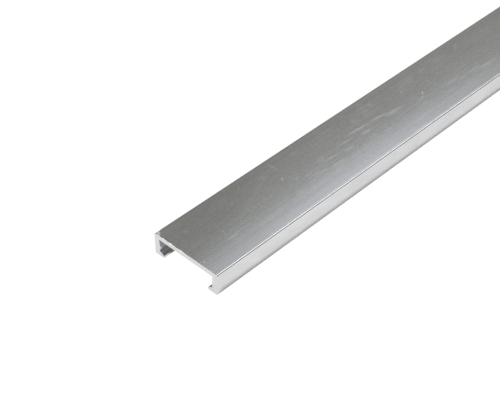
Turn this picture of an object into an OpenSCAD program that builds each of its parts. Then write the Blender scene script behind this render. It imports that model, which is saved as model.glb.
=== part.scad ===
// Snap-over cover channel: one straight aluminium extrusion with the same section all along.
// A flat top plate carries two legs, and each leg turns inward at its foot into a lip with a thin toe.
// The lips clip over a strip, or hold a runner that slides in from an end.
//
// The bar runs along X, its width lies along Y, and the undersides of the lips are at Z = 0.
// The origin is at the middle of the bar's length and width.

/* [Stock] */
// Length the bar is cut to
bar_length = 1000; // [100:50:3000]

/* [Section] */
// Width over the two outer faces
width = 25; // [18:0.5:60]
// Height from the undersides of the lips to the top face
height = 7.5; // [6:0.25:30]
// Thickness of the top plate
plate_thickness = 1.5; // [0.8:0.1:2]
// Thickness of a leg where it meets the top plate
leg_top_thickness = 1.8; // [1:0.1:2.5]
// Thickness of a leg where it meets its lip
leg_foot_thickness = 2; // [1:0.1:2.5]

/* [Lips] */
// Height of a lip's flat top, next to the leg
lip_height = 1.4; // [1:0.05:2]
// How far the flat top stands out from the leg
lip_flat_width = 0.7; // [0.5:0.05:1.5]
// Width of the slope that leads down from the flat top to the toe
lip_slope_width = 0.6; // [0.2:0.05:1]
// Width of the thin toe at the lip's end
toe_width = 0.25; // [0.1:0.05:1]
// Height of the toe
toe_height = 0.8; // [0.4:0.05:0.9]

/* [Edges] */
// Radius along the two top edges
top_edge_radius = 0.4; // [0.1:0.05:0.6]
// Radius along the two bottom outer edges
foot_edge_radius = 0.15; // [0.1:0.05:0.5]
// Radius in the corners between the top plate and the legs
plate_corner_radius = 0.3; // [0.1:0.05:0.6]
// Radius in the corners between the legs and the lips
lip_corner_radius = 0.25; // [0.1:0.05:0.4]

/* [Hidden] */
mill_finish = [0.73, 0.74, 0.75];
arc_sides = 48;
// How far the pieces that shape a corner run past it into the metal or the air around it
corner_overlap = 0.1;
// How far an arc dips past its tangent points, so that it cleanly crosses both edges
arc_dip = 0.0005;

half_width = width / 2;
leg_inner_top = half_width - leg_top_thickness;
leg_inner_foot = half_width - leg_foot_thickness;
slope_start = leg_inner_foot - lip_flat_width;
toe_start = slope_start - lip_slope_width;
toe_end = toe_start - toe_width;

// Corners of the right half of the section, named for what meets there
outer_foot = [half_width, 0];
outer_top = [half_width, height];
plate_corner = [leg_inner_top, height - plate_thickness];
lip_corner = [leg_inner_foot, lip_height];
slope_top = [slope_start, lip_height];
slope_bottom = [toe_start, toe_height];
toe_upper = [toe_end, toe_height];
toe_lower = [toe_end, 0];

outside = [toe_lower, outer_foot, outer_top];
inside = [plate_corner, lip_corner, slope_top, slope_bottom, toe_upper];

function unit(v) = v / norm(v);
function mirrored(points) = [for (i = [len(points) - 1 : -1 : 0]) [-points[i].x, points[i].y]];

// What lies between a sharp corner and the arc that rounds it. The corner joins two edges, which lead
// to the points a and b.
module corner_sliver(corner, a, b, radius) {
    to_a = unit(a - corner);
    to_b = unit(b - corner);
    to_centre = unit(to_a + to_b);
    half_angle = acos(to_a * to_b) / 2;
    centre_depth = radius - arc_dip;
    edge_length = centre_depth / tan(half_angle);
    difference() {
        polygon([
            corner - to_centre * corner_overlap,
            corner + to_a * edge_length,
            corner + to_b * edge_length
        ]);
        translate(corner + to_centre * centre_depth / sin(half_angle)) circle(r = radius, $fn = arc_sides);
    }
}

module both_sides() {
    children();
    mirror([1, 0]) children();
}

module section() {
    difference() {
        union() {
            polygon(concat(outside, mirrored(outside), mirrored(inside), inside));
            both_sides() {
                corner_sliver(plate_corner, [0, plate_corner.y], lip_corner, plate_corner_radius);
                corner_sliver(lip_corner, plate_corner, slope_top, lip_corner_radius);
            }
        }
        both_sides() {
            corner_sliver(outer_top, [0, height], outer_foot, top_edge_radius);
            corner_sliver(outer_foot, outer_top, toe_lower, foot_edge_radius);
        }
    }
}

module profile() {
    color(mill_finish) rotate([90, 0, 90]) linear_extrude(height = bar_length, center = true) section();
}

profile();
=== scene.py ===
import math

import bmesh
import bpy
from mathutils import Matrix, Vector, noise


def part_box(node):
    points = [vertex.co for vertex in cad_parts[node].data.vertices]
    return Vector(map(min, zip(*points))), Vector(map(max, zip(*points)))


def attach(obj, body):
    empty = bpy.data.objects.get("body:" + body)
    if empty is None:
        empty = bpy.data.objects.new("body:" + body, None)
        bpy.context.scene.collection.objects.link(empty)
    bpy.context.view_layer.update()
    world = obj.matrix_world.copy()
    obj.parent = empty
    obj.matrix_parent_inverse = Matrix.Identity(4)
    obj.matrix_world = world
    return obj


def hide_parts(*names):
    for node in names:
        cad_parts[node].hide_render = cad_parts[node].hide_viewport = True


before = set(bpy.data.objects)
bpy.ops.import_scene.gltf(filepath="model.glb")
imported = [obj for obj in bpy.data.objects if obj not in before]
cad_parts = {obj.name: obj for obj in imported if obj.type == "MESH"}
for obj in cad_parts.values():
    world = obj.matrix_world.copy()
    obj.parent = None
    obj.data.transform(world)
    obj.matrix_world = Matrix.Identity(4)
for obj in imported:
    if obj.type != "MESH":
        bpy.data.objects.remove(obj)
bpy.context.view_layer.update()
low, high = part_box("profile")
scene = bpy.context.scene
MM = 0.001

# ---------------------------------------------------------------- camera

near_end = Vector((low.x, (low.y + high.y) / 2, low.z))
# Fitted to the perspective of the sawn end and the long edges: mm from the near end, and degrees
CAMERA_PLACE, CAMERA_DOWN, CAMERA_TURN = (-157.59, -176.63, 229.65), 40.699, 43.888
camera = bpy.data.objects.new("camera", bpy.data.cameras.new("camera"))
scene.collection.objects.link(camera)
camera.location = near_end + Vector(CAMERA_PLACE) * MM
camera.rotation_euler = (math.radians(90 - CAMERA_DOWN), 0, math.radians(CAMERA_TURN - 90))
camera.data.lens = 84.11
camera.data.clip_start = 0.01
scene.camera = camera

# ---------------------------------------------------------------- section, in the CAD's sizes

WIDTH = high.y - low.y
HEIGHT = high.z - low.z
PLATE = 1.5 * MM
LEG_TOP, LEG_FOOT = 1.8 * MM, 2.0 * MM
LIP_HEIGHT, TOE_HEIGHT = 1.4 * MM, 0.8 * MM
LIP_FLAT, LIP_SLOPE, TOE = 0.7 * MM, 0.6 * MM, 0.25 * MM
TOP_RADIUS, FOOT_RADIUS = 0.4 * MM, 0.15 * MM
PLATE_CORNER, LIP_CORNER = 0.3 * MM, 0.25 * MM
SHARP = 0.06 * MM  # the die's own rounding on an edge drawn sharp

half = WIDTH / 2
foot = half - LEG_FOOT
toe_end = foot - LIP_FLAT - LIP_SLOPE - TOE
# y, z and radius of the corners on the +Y side, first from the toe's lower edge out and up to the top face
outside = [
    (toe_end, 0, SHARP),
    (half, 0, FOOT_RADIUS),
    (half, HEIGHT, TOP_RADIUS),
]
# and then from the toe's upper edge in and up to the plate's underside
inside = [
    (toe_end, TOE_HEIGHT, SHARP),
    (foot - LIP_FLAT - LIP_SLOPE, TOE_HEIGHT, SHARP),
    (foot - LIP_FLAT, LIP_HEIGHT, SHARP),
    (foot, LIP_HEIGHT, LIP_CORNER),
    (half - LEG_TOP, HEIGHT - PLATE, PLATE_CORNER),
]
# Mesh strips on each straight stretch: the lip's underside and the leg's outer face, the top face,
# then the toe's end and top, the slope, the flat and the leg's inner face, and the plate's underside
OUTSIDE_STRIPS, TOP_STRIPS = [12, 18], [50]
INSIDE_STRIPS, UNDERSIDE_STRIPS = [3, 1, 2, 3, 10], [30]


def mirrored(corners):
    return [(-y, z, radius) for y, z, radius in corners]


def closed_section():
    """The corners once round from the +Y toe's lower edge, and the mesh strips from each to the next."""
    corners = outside + mirrored(outside[::-1]) + mirrored(inside) + inside[::-1]
    strips = OUTSIDE_STRIPS + TOP_STRIPS + OUTSIDE_STRIPS[::-1]
    strips += INSIDE_STRIPS + UNDERSIDE_STRIPS + INSIDE_STRIPS[::-1]
    return corners, strips


def arc(before, corner, after, radius, steps=8):
    """Points of the rounding that replaces a corner."""
    a = (Vector(before) - Vector(corner)).normalized()
    b = (Vector(after) - Vector(corner)).normalized()
    angle = math.acos(max(-1, min(1, a.dot(b))))
    reach = radius / math.tan(angle / 2)
    centre = Vector(corner) + (a + b).normalized() * radius / math.sin(angle / 2)
    start = Vector(corner) + a * reach - centre
    turn = math.copysign(math.pi - angle, b.x * a.y - b.y * a.x)
    return [centre + Matrix.Rotation(turn * i / steps, 2) @ start for i in range(steps + 1)]


def outline():
    """Points (y, z) once round the section, with an outward normal at each."""
    corners, strips = closed_section()
    count = len(corners)
    arcs = [
        arc(corners[i - 1][:2], corners[i][:2], corners[(i + 1) % count][:2], corners[i][2])
        for i in range(count)
    ]
    points = []
    for i in range(count):
        points += arcs[i]
        a, b = arcs[i][-1], arcs[(i + 1) % count][0]
        points += [a.lerp(b, k / strips[i]) for k in range(1, strips[i])]
    normals = []
    for i, p in enumerate(points):
        along = points[(i + 1) % len(points)] - points[i - 1]
        normals.append(Vector((along.y, -along.x)).normalized())
    return points, normals


# ---------------------------------------------------------------- the bar

LENGTH = round((high.x - low.x) / MM)
# The mesh's cross sections, in mm from the near end, every 20 mm in between, and from the far end
NEAR_STATIONS = [0.15, 0.3, 0.5, 0.7, 0.9, 1.1, 1.3, 1.5, 1.7, 1.9, 2.1, 2.4, 3, 4, 6, 9, 14, 20]
FAR_STATIONS = [20, 10, 4, 1.5, 0.6]
STATIONS = NEAR_STATIONS + list(range(30, LENGTH - 20, 20)) + [LENGTH - back for back in FAR_STATIONS]
NEAR_SEED, FAR_SEED = 0, 7
MILL_SKIN, SAWN_END = 0, 1  # the bar's material slots
# The wear of every sawn edge, in mm: the least, what chance adds, and the size of its waves
EDGE_WEAR, EDGE_CHANCE, EDGE_WAVE = 0.035, 0.05, 0.8
# Nicks in the near end's top edge: mm from the far side edge, depth and half width
NICKS = [(4.1, 0.26, 0.5), (6.9, 0.2, 0.5), (11.5, 0.1, 1.2)]
# The filed corner: mm along the bar, how ragged its border is, its length over its width, and its fall
FILED_LENGTH, FILED_RAGGED, FILED_SKEW, FILED_FALL = 2.3, 0.25, 0.9, 0.09
FULLY_FILED = 0.02 * MM  # from this depth on the metal looks filed all over


def hill(value, centre, width):
    """1 at the centre, and fading away on both sides."""
    return math.exp(-(((value - centre) / width) ** 2))


def edge_break(y, z, seed):
    """How far the sawn end's edge is worn or torn back at this point of the outline."""
    chance = noise.noise(Vector((y, z, 0)) / (EDGE_WAVE * MM) + Vector((seed, 0, 0)))
    worn = EDGE_WEAR + EDGE_CHANCE * max(0, chance)
    if seed == NEAR_SEED and z > HEIGHT - 0.6 * MM:
        across = (high.y - y) / MM
        worn += sum(depth * hill(across, centre, width) for centre, depth, width in NICKS)
    return worn * MM


def filed_corner(x, y):
    """The near left corner of the plate is filed down a little: how far below the plate's top it is."""
    along, across = (x - low.x) / MM, (high.y - y) / MM
    border = FILED_LENGTH + FILED_RAGGED * noise.noise(Vector((along, across, 3)) * 1.4)
    return max(0, border - along - across * FILED_SKEW) * FILED_FALL * MM


def build_bar():
    points, normals = outline()
    count = len(points)
    mesh = bmesh.new()
    mask = mesh.verts.layers.float.new("filed")
    rings = []

    def ring(places):
        rings.append([mesh.verts.new(place) for place in places])

    def worn_ring(end, inward, seed, forward, back):
        """A ring round a sawn edge, moved by its shares of the wear: forward along the bar, back into it."""
        places = []
        for p, n in zip(points, normals):
            worn = edge_break(p.x, p.y, seed)
            q = p - n * worn * back
            places.append((end + inward * worn * forward, q.x, q.y))
        ring(places)

    edge_steps = ((0, 1), (0.3, 0.3), (1, 0))
    for forward, back in edge_steps:
        worn_ring(low.x, 1, NEAR_SEED, forward, back)
    for station in STATIONS:
        ring([(low.x + station * MM, p.x, p.y) for p in points])
    for forward, back in edge_steps[::-1]:
        worn_ring(high.x, -1, FAR_SEED, forward, back)

    for a, b in zip(rings, rings[1:]):
        sawn = a is rings[0] or a is rings[1] or b is rings[-1] or b is rings[-2]
        for i in range(count):
            j = (i + 1) % count
            face = mesh.faces.new((a[i], a[j], b[j], b[i]))
            face.smooth = True
            face.material_index = SAWN_END if sawn else MILL_SKIN
    for loop in (rings[0][::-1], rings[-1]):
        cap = mesh.faces.new(loop)
        cap.material_index = SAWN_END
        cap.normal_update()
        bmesh.ops.triangulate(mesh, faces=[cap])

    for vertex in mesh.verts:
        if vertex.co.z > HEIGHT - 0.5 * MM:
            depth = filed_corner(vertex.co.x, vertex.co.y)
            vertex.co.z -= depth
            vertex[mask] = min(1, depth / FULLY_FILED)
    mesh.normal_update()
    data = bpy.data.meshes.new("bar")
    mesh.to_mesh(data)
    mesh.free()
    bar = bpy.data.objects.new("bar", data)
    scene.collection.objects.link(bar)
    return bar


# ---------------------------------------------------------------- materials


class Nodes:
    """Short calls for building a node tree."""

    def __init__(self, tree):
        self.tree = tree

    def add(self, kind, inputs=None, **settings):
        node = self.tree.nodes.new(kind)
        for name, value in settings.items():
            setattr(node, name, value)
        for name, value in (inputs or {}).items():
            if isinstance(value, bpy.types.NodeSocket):
                self.tree.links.new(value, node.inputs[name])
            else:
                node.inputs[name].default_value = value
        return node

    def maths(self, operation, a, b=0.0, c=0.0):
        return self.add("ShaderNodeMath", {0: a, 1: b, 2: c}, operation=operation).outputs[0]

    def stretch(self, vector, scale):
        return self.add("ShaderNodeMapping", {"Vector": vector, "Scale": scale}).outputs[0]

    def noise(self, vector, scale, detail=2.0, roughness=0.5, distortion=0.0):
        inputs = {
            "Vector": vector,
            "Scale": scale,
            "Detail": detail,
            "Roughness": roughness,
            "Distortion": distortion,
        }
        return self.add("ShaderNodeTexNoise", inputs).outputs["Fac"]

    def ramp(self, value, low_in, high_in, low_out=0.0, high_out=1.0):
        """An eased step from low_out to high_out while the value goes from low_in to high_in."""
        inputs = {
            "Value": value,
            "From Min": low_in,
            "From Max": high_in,
            "To Min": low_out,
            "To Max": high_out,
        }
        return self.add("ShaderNodeMapRange", inputs, interpolation_type="SMOOTHSTEP").outputs[0]

    def mix(self, factor, a, b):
        node = self.add("ShaderNodeMix", data_type="RGBA")
        for socket, value in ((0, factor), (6, a), (7, b)):
            if isinstance(value, bpy.types.NodeSocket):
                self.tree.links.new(value, node.inputs[socket])
            else:
                node.inputs[socket].default_value = value
        return node.outputs[2]


def new_material(name):
    material = bpy.data.materials.new(name)
    material.use_nodes = True
    nodes = Nodes(material.node_tree)
    shader = material.node_tree.nodes["Principled BSDF"]
    return material, nodes, shader


PHOTOGRAPHED = 140 * MM  # how much of the bar the photo shows, from the near end
# Marks on the plate's top in that stretch. Each row has mm from the near end, mm from the far side edge,
# the turn in degrees, half the length and half the width in mm, and the strength. First, rubbed streaks
RUBS = [
    (77.0, 10.4, -5, 7.4, 0.62, 0.60),
    (86.5, 11.0, -5, 4.6, 0.60, 0.75),
    (92.5, 12.5, -4, 5.2, 0.95, 0.55),
    (69.5, 11.8, -4, 4.2, 0.47, 0.50),
    (78.0, 13.0, -2, 3.2, 0.95, 0.38),
    (61.0, 13.7, -6, 3.8, 0.50, 0.62),
    (53.0, 15.9, -7, 4.6, 0.50, 0.62),
    (60.0, 17.0, -6, 3.8, 0.50, 0.60),
    (67.8, 14.7, -4, 2.8, 0.54, 0.50),
    (78.0, 16.1, -3, 3.2, 0.41, 0.30),
    (84.0, 17.4, -3, 2.5, 0.54, 0.20),
    (42.8, 17.9, -2, 3.4, 0.50, 0.70),
    (67.5, 18.1, -3, 2.5, 0.41, 0.25),
    (104.5, 14.5, 12, 2.2, 0.54, 0.50),
    (118.5, 15.9, -3, 6.0, 0.70, 0.50),
    (103.5, 16.8, -2, 2.5, 0.41, 0.35),
    (123.5, 17.1, 2, 2.4, 0.54, 0.70),
    (130.0, 17.0, 0, 4.5, 0.55, 0.40),
    (114.5, 18.8, -1, 2.6, 0.60, 0.45),
    (122.8, 20.0, 0, 2.0, 0.41, 0.35),
    (130.0, 20.6, -6, 3.8, 0.50, 0.60),
    (135.5, 18.2, -2, 6.5, 0.80, 0.75),
    (49.5, 19.1, 0, 2.0, 0.41, 0.20),
]
# Bright scratches and dots
SCRATCHES = [
    (14.3, 17.2, -2, 2.4, 0.28, 0.7),
    (45.5, 20.1, 0, 11.0, 0.22, 0.45),
    (42.6, 9.9, 33, 0.9, 0.15, 1.0),
    (107.0, 12.9, 35, 0.9, 0.30, 1.0),
    (102.3, 7.8, 20, 0.5, 0.20, 0.6),
    (1.4, 18.7, 50, 0.6, 0.28, 1.0),
    (0.9, 18.3, 0, 0.3, 0.20, 0.5),
    (29.5, 22.7, 15, 0.5, 0.20, 0.7),
    (30.6, 3.4, 50, 0.5, 0.15, 0.6),
    (136.3, 19.0, 35, 0.8, 0.25, 0.7),
    (45.8, 12.8, 15, 1.0, 0.15, 0.6),
    (19.2, 17.9, 0, 0.35, 0.3, 0.6),
    (32.3, 18.1, 0, 0.35, 0.3, 0.6),
    (29.8, 20.6, 0, 0.35, 0.3, 0.5),
    (46.7, 19.0, 0, 0.4, 0.35, 0.6),
    (40.4, 19.7, 0, 0.35, 0.3, 0.5),
    (49.0, 14.2, 0, 0.4, 0.35, 0.5),
    (57.5, 18.8, 0, 0.4, 0.35, 0.5),
    (24.3, 6.9, 0, 0.35, 0.3, 0.5),
    (13.9, 13.6, 0, 0.35, 0.3, 0.5),
    (78.6, 2.6, 0, 0.3, 0.3, 0.5),
    (108.0, 21.0, 0, 0.4, 0.3, 0.5),
    (119.0, 20.8, 0, 0.4, 0.3, 0.5),
    (87.0, 21.6, 0, 0.4, 0.35, 0.5),
    (92.8, 21.6, 0, 0.4, 0.35, 0.5),
    (76.3, 22.8, 0, 0.4, 0.35, 0.5),
    (79.0, 23.3, 0, 0.4, 0.35, 0.5),
    (49.0, 21.3, 0, 0.4, 0.35, 0.5),
    (90.0, 21.6, 0, 0.4, 0.35, 0.5),
]
# Soft pale clouds where the bar was handled
SMUDGES = [
    (44.7, 4.4, 90, 3.6, 0.7, 1.0),
    (87.3, 2.4, 0, 2.0, 1.6, 0.7),
    (89.8, 4.8, 0, 2.4, 1.8, 0.7),
    (79.8, 7.0, 0, 2.2, 1.6, 0.7),
    (57.5, 12.3, 0, 2.4, 1.8, 0.7),
    (39.0, 5.5, 0, 2.4, 1.6, 0.7),
    (3.5, 5.5, 0, 1.4, 1.2, 0.7),
    (6.8, 5.8, 0, 1.4, 1.2, 0.7),
    (32.5, 8.5, 25, 13.0, 1.0, 0.35),
    (86.0, 5.0, 60, 5.0, 2.6, 0.5),
    (108.0, 5.0, 20, 9.0, 3.0, 0.35),
    (125.0, 4.0, -10, 9.0, 2.6, 0.35),
    (21.0, 4.0, 10, 6.0, 2.0, 0.3),
    (113.5, 10.5, 90, 2.8, 0.4, 0.8),
    (117.0, 4.5, 0, 3.0, 2.0, 0.5),
    (137.0, 4.0, 30, 4.0, 1.2, 0.6),
    (61.5, 6.0, 0, 2.0, 1.4, 0.6),
    (54.5, 3.8, 0, 2.0, 1.2, 0.5),
]


def marks(nodes, place, table, full):
    """One mask for a table of marks on the plate's top.

    Each is a soft ellipse. It fades in from its border, and reaches its strength at the share full of the
    way to its middle.
    """
    total = None
    for along, across, turn, length, width, strength in table:
        local = nodes.add(
            "ShaderNodeMapping",
            {
                "Vector": place,
                "Location": (low.x + along * MM, high.y - across * MM, high.z),
                "Rotation": (0, 0, math.radians(turn)),
                "Scale": (length * MM, width * MM, 1),
            },
            vector_type="TEXTURE",
        ).outputs[0]
        fade = nodes.add("ShaderNodeTexGradient", {"Vector": local}, gradient_type="SPHERICAL").outputs["Fac"]
        mark = nodes.ramp(fade, 0, full, 0, strength)
        total = mark if total is None else nodes.maths("MAXIMUM", total, mark)
    return total


def specks(nodes, place, scale, size, share):
    """Small soft dots scattered over a face: only a share of the cells has one."""
    cells = nodes.add("ShaderNodeTexVoronoi", {"Vector": place, "Scale": scale}, feature="F1")
    dot = nodes.ramp(cells.outputs["Distance"], 0, size * scale, 1, 0)
    pick = nodes.add("ShaderNodeSeparateXYZ", {0: cells.outputs["Color"]}).outputs["X"]
    return nodes.maths("MULTIPLY", dot, nodes.ramp(pick, 1 - share, 1.01 - share))


def handling(nodes, place, along_bar):
    """Masks of the rubs, scratches and smudges on the skin."""
    # the rubs are listed one by one on the photographed stretch and come by chance on the rest of the bar
    rubs = nodes.maths("POWER", marks(nodes, place, RUBS, full=0.9), 0.7)
    beyond = nodes.ramp(along_bar, low.x + PHOTOGRAPHED, low.x + PHOTOGRAPHED + 20 * MM)
    chance = nodes.ramp(nodes.noise(nodes.stretch(place, (45, 700, 700)), 1, 2, 0.6, 0.8), 0.62, 0.78)
    rubs = nodes.maths("MAXIMUM", rubs, nodes.maths("MULTIPLY", chance, beyond))
    torn = nodes.ramp(nodes.noise(nodes.stretch(place, (160, 1700, 1700)), 1, 3, 0.7), 0.35, 0.65)
    rubs = nodes.maths("MULTIPLY", rubs, nodes.maths("MULTIPLY_ADD", torn, 0.7, 0.5))
    scratches = marks(nodes, place, SCRATCHES, full=0.3)
    faint_specks = nodes.maths("MULTIPLY", specks(nodes, place, scale=300, size=0.2 * MM, share=0.4), 0.6)
    scratches = nodes.maths("MAXIMUM", scratches, faint_specks)
    wisps = nodes.noise(nodes.stretch(place, (350, 500, 500)), 1, 4, 0.7, 1.0)
    smudges = marks(nodes, place, SMUDGES, full=0.8)
    smudges = nodes.maths("MULTIPLY", smudges, nodes.ramp(wisps, 0.3, 0.7, 0.1, 1))
    return rubs, scratches, smudges


def lengthwise_tones_and_painted_light(nodes, axes, height, colour):
    """The skin's colour with what differs from face to face and runs the bar's length: painted light in the
    hollow, a painted dark reflection along the side edges, and a duller strip beside the die line; heights in
    mm.
    """
    top, underside, lip_top = HEIGHT / MM, (HEIGHT - PLATE) / MM, LIP_HEIGHT / MM
    # painted light: the hollow's walls and the lips' flat tops are painted brighter than the outside, to
    # stand in for light inside the channel
    off_middle = nodes.maths("ABSOLUTE", axes.outputs["Y"])
    painted_hollow_light = nodes.ramp(off_middle, half - 1.7 * MM, half - 0.2 * MM, 1, 0)
    painted_hollow_light = nodes.maths("MULTIPLY", painted_hollow_light, nodes.ramp(height, underside - 0.3, underside - 0.1, 1, 0))
    painted_hollow_light = nodes.maths("MULTIPLY", painted_hollow_light, nodes.ramp(height, lip_top - 0.1, lip_top - 0.02))
    colour = nodes.mix(painted_hollow_light, colour, (0.93, 0.94, 0.96, 1))
    # painted reflection: a dark streak runs along each side, over the lower half of its rounded top edge,
    # painted in as the edge's dark reflection
    painted_dark_reflection = nodes.ramp(height, top - 0.51, top - 0.39)
    painted_dark_reflection = nodes.maths("MULTIPLY", painted_dark_reflection, nodes.ramp(height, top - 0.2, top - 0.08, 0.95, 0))
    colour = nodes.mix(painted_dark_reflection, colour, (0.16, 0.14, 0.135, 1))
    # a die line runs beside the far edge, and from 10 mm on the strip outside it is a little duller
    across = nodes.maths("MULTIPLY_ADD", axes.outputs["Y"], -1000, high.y / MM)
    strip = nodes.ramp(across, 3.45, 3.65, 0.045, 0)
    strip = nodes.maths("MULTIPLY", strip, nodes.ramp(axes.outputs["X"], low.x + 6 * MM, low.x + 10 * MM))
    return nodes.mix(strip, colour, (0, 0, 0, 1))


def mill_skin():
    material, nodes, shader = new_material("mill_skin")
    place = nodes.add("ShaderNodeTexCoord").outputs["Object"]
    axes = nodes.add("ShaderNodeSeparateXYZ", {0: place})
    # each stretch is in noise cells per metre along the bar, across it and up
    lines = nodes.noise(nodes.stretch(place, (14, 1500, 1500)), 1, 3, 0.65)
    bands = nodes.noise(nodes.stretch(place, (3, 520, 520)), 1, 2, 0.5)
    cloud = nodes.noise(nodes.stretch(place, (70, 150, 150)), 1, 4, 0.6, 0.6)
    grain = nodes.noise(nodes.stretch(place, (1400, 2200, 2200)), 1, 2, 0.7)
    rubs, scratches, smudges = handling(nodes, place, axes.outputs["X"])
    filed = nodes.add("ShaderNodeAttribute", attribute_name="filed").outputs["Fac"]

    # the die lines and the grain show mostly on the top face
    top = HEIGHT / MM
    height = nodes.maths("MULTIPLY", axes.outputs["Z"], 1000)
    on_top = nodes.ramp(height, 0.99 * top, 0.999 * top, 0.15, 1)
    dull_lines = nodes.maths("MULTIPLY", nodes.ramp(lines, 0.3, 0.7), on_top)
    bright_grain = nodes.maths("MULTIPLY", nodes.ramp(grain, 0.3, 0.7, 0, 0.5), on_top)
    colour = nodes.mix(nodes.ramp(cloud, 0.3, 0.72), (0.70, 0.70, 0.69, 1), (0.79, 0.79, 0.78, 1))
    colour = nodes.mix(dull_lines, colour, (0.66, 0.66, 0.645, 1))
    colour = nodes.mix(bright_grain, colour, (0.87, 0.87, 0.86, 1))
    colour = nodes.mix(nodes.maths("MULTIPLY", smudges, 0.65), colour, (0.86, 0.88, 0.83, 1))
    colour = nodes.mix(rubs, colour, (0.88, 0.83, 0.75, 1))
    colour = nodes.mix(scratches, colour, (0.97, 0.96, 0.93, 1))
    colour = nodes.mix(filed, colour, (0.86, 0.86, 0.85, 1))
    colour = lengthwise_tones_and_painted_light(nodes, axes, height, colour)
    nodes.tree.links.new(colour, shader.inputs["Base Color"])

    rough = nodes.maths("MULTIPLY_ADD", grain, 0.06, 0.075)
    for mask, rougher in ((rubs, 0.14), (scratches, 0.25), (smudges, 0.08), (filed, 0.4)):
        rough = nodes.maths("ADD", rough, nodes.maths("MULTIPLY", mask, rougher))
    nodes.tree.links.new(rough, shader.inputs["Roughness"])

    relief = nodes.maths("ADD", nodes.maths("MULTIPLY", lines, 0.8), nodes.maths("MULTIPLY", bands, 0.8))
    relief = nodes.maths("ADD", relief, nodes.maths("MULTIPLY", grain, 0.05))
    bumps = nodes.add("ShaderNodeBump", {"Height": relief, "Strength": 0.5, "Distance": 0.003 * MM})
    nodes.tree.links.new(bumps.outputs[0], shader.inputs["Normal"])
    shader.inputs["Metallic"].default_value = 1.0
    return material


def sawn_end():
    material, nodes, shader = new_material("sawn_end")
    place = nodes.add("ShaderNodeTexCoord").outputs["Object"]
    cuts = nodes.noise(nodes.stretch(place, (200, 420, 5200)), 1, 3, 0.7, 0.4)
    blotch = nodes.noise(place, 900, 3, 0.6)
    colour = nodes.mix(blotch, (0.71, 0.71, 0.70, 1), (0.745, 0.745, 0.735, 1))
    nodes.tree.links.new(colour, shader.inputs["Base Color"])
    nodes.tree.links.new(nodes.ramp(cuts, 0.2, 0.8, 0.42, 0.58), shader.inputs["Roughness"])
    bumps = nodes.add("ShaderNodeBump", {"Height": cuts, "Strength": 0.5, "Distance": 0.0015 * MM})
    nodes.tree.links.new(bumps.outputs[0], shader.inputs["Normal"])
    shader.inputs["Metallic"].default_value = 1.0
    return material


bar = build_bar()
bar.data.materials.append(mill_skin())
bar.data.materials.append(sawn_end())
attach(bar, "root")
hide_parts("profile")

# ---------------------------------------------------------------- floor and lights


def white_sweep():
    """A matt floor: the metal mirrors it with its soft shadows, but the camera sees plain white."""
    material, nodes, shader = new_material("white_sweep")
    shader.inputs["Base Color"].default_value = (0.8, 0.8, 0.83, 1)
    shader.inputs["Roughness"].default_value = 1.0
    shader.inputs["Specular IOR Level"].default_value = 0.0
    shader.inputs["Emission Color"].default_value = (0.97, 0.97, 1.0, 1)
    shader.inputs["Emission Strength"].default_value = 0.205
    # a little over 1, so that no noise shows in the white
    white = nodes.add("ShaderNodeEmission", {"Color": (1, 1, 1, 1), "Strength": 1.02}).outputs[0]
    seen = nodes.add("ShaderNodeLightPath").outputs["Is Camera Ray"]
    either = nodes.add("ShaderNodeMixShader", {0: seen, 1: shader.outputs[0], 2: white}).outputs[0]
    nodes.tree.links.new(either, nodes.tree.nodes["Material Output"].inputs["Surface"])
    return material


FLOOR_REACH = 40
FLOOR_GAP = 0.02 * MM  # so that the undersides of the lips and the floor don't lie in one plane
floor_corners = [(x * FLOOR_REACH, y * FLOOR_REACH, 0) for x, y in ((-1, -1), (1, -1), (1, 1), (-1, 1))]
floor_mesh = bpy.data.meshes.new("floor")
floor_mesh.from_pydata(floor_corners, [], [(0, 1, 2, 3)])
floor_mesh.materials.append(white_sweep())
floor = bpy.data.objects.new("floor", floor_mesh)
scene.collection.objects.link(floor)
floor.location = (0, 0, low.z - FLOOR_GAP)


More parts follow.
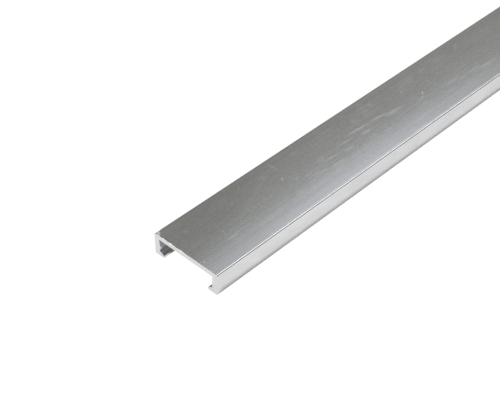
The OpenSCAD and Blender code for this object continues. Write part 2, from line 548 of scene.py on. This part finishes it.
def softbox(name, place, size, radiance, colour=(1, 1, 1), aim=None, turn=0, falloff=0):
    """A rectangular light, placed in metres from the foot of the near end; falloff dims its short ends."""
    data = bpy.data.lights.new(name, "AREA")
    data.shape = "RECTANGLE"
    data.size, data.size_y = size
    data.energy = radiance * math.pi * size[0] * size[1]
    data.color = colour
    if falloff:
        data.use_nodes = True
        nodes = Nodes(data.node_tree)
        on_light = nodes.add("ShaderNodeNewGeometry").outputs["Parametric"]
        along = nodes.add("ShaderNodeSeparateXYZ", {0: on_light}).outputs["X"]
        off_centre = nodes.maths("ABSOLUTE", nodes.maths("SUBTRACT", along, 0.5))
        strength = nodes.ramp(off_centre, 0, 0.5, 1, 1 - falloff)
        data.node_tree.links.new(strength, data.node_tree.nodes["Emission"].inputs["Strength"])
    light = bpy.data.objects.new(name, data)
    scene.collection.objects.link(light)
    light.location = near_end + Vector(place)
    light.rotation_euler = (0, 0, math.radians(turn))
    if aim:
        light.rotation_euler = (Vector(aim) - Vector(place)).to_track_quat("-Z", "Y").to_euler()
    return light


# these are only what the metal mirrors
mirrored_lights = [
    softbox("scrim", (1.02, 0.485, 1.0), (1.45, 0.53), 0.525, (0.915, 0.96, 1.12), falloff=0.9),
    softbox("strip", (0.95, -1.02, 1.0), (1.5, 1.55), 1.7),
    softbox("panel", (1.5, 0.28, 1.0), (2.6, 1.5), 0.055, turn=25),
    softbox("end", (-1.0, 0.45, 0.6), (0.8, 0.5), 4.3, aim=(0, 0, 0)),
]
metal_only = bpy.data.collections.new("metal only")
metal_only.objects.link(bar)
for light in mirrored_lights:
    light.light_linking.receiver_collection = metal_only
# and this one lights the floor and the bar
softbox("key", (-0.68, 0.142, 1.6), (0.3, 0.347), 80)

# a grey room with a dark band low down in front, which the rounded top edge mirrors; white to the camera
world = bpy.data.worlds.new("studio")
world.use_nodes = True
sky = Nodes(world.node_tree)
direction = sky.add("ShaderNodeSeparateXYZ", {0: sky.add("ShaderNodeTexCoord").outputs["Generated"]})
background = world.node_tree.nodes["Background"]
front = sky.ramp(direction.outputs["Y"], -0.5, -0.1, 1, 0)
dark = sky.maths("MULTIPLY", front, sky.ramp(direction.outputs["Z"], 0.05, 0.2, 1, 0))
colour = sky.mix(dark, (0.253, 0.257, 0.242, 1), (0.03, 0.025, 0.022, 1))
colour = sky.mix(sky.add("ShaderNodeLightPath").outputs["Is Camera Ray"], colour, (1, 1, 1, 1))
world.node_tree.links.new(colour, background.inputs["Color"])
world.cycles.sampling_method = "NONE"
scene.world = world
scene.view_settings.view_transform = "Standard"
scene.cycles.caustics_reflective = False  # light that the metal throws back on the floor is mostly noise
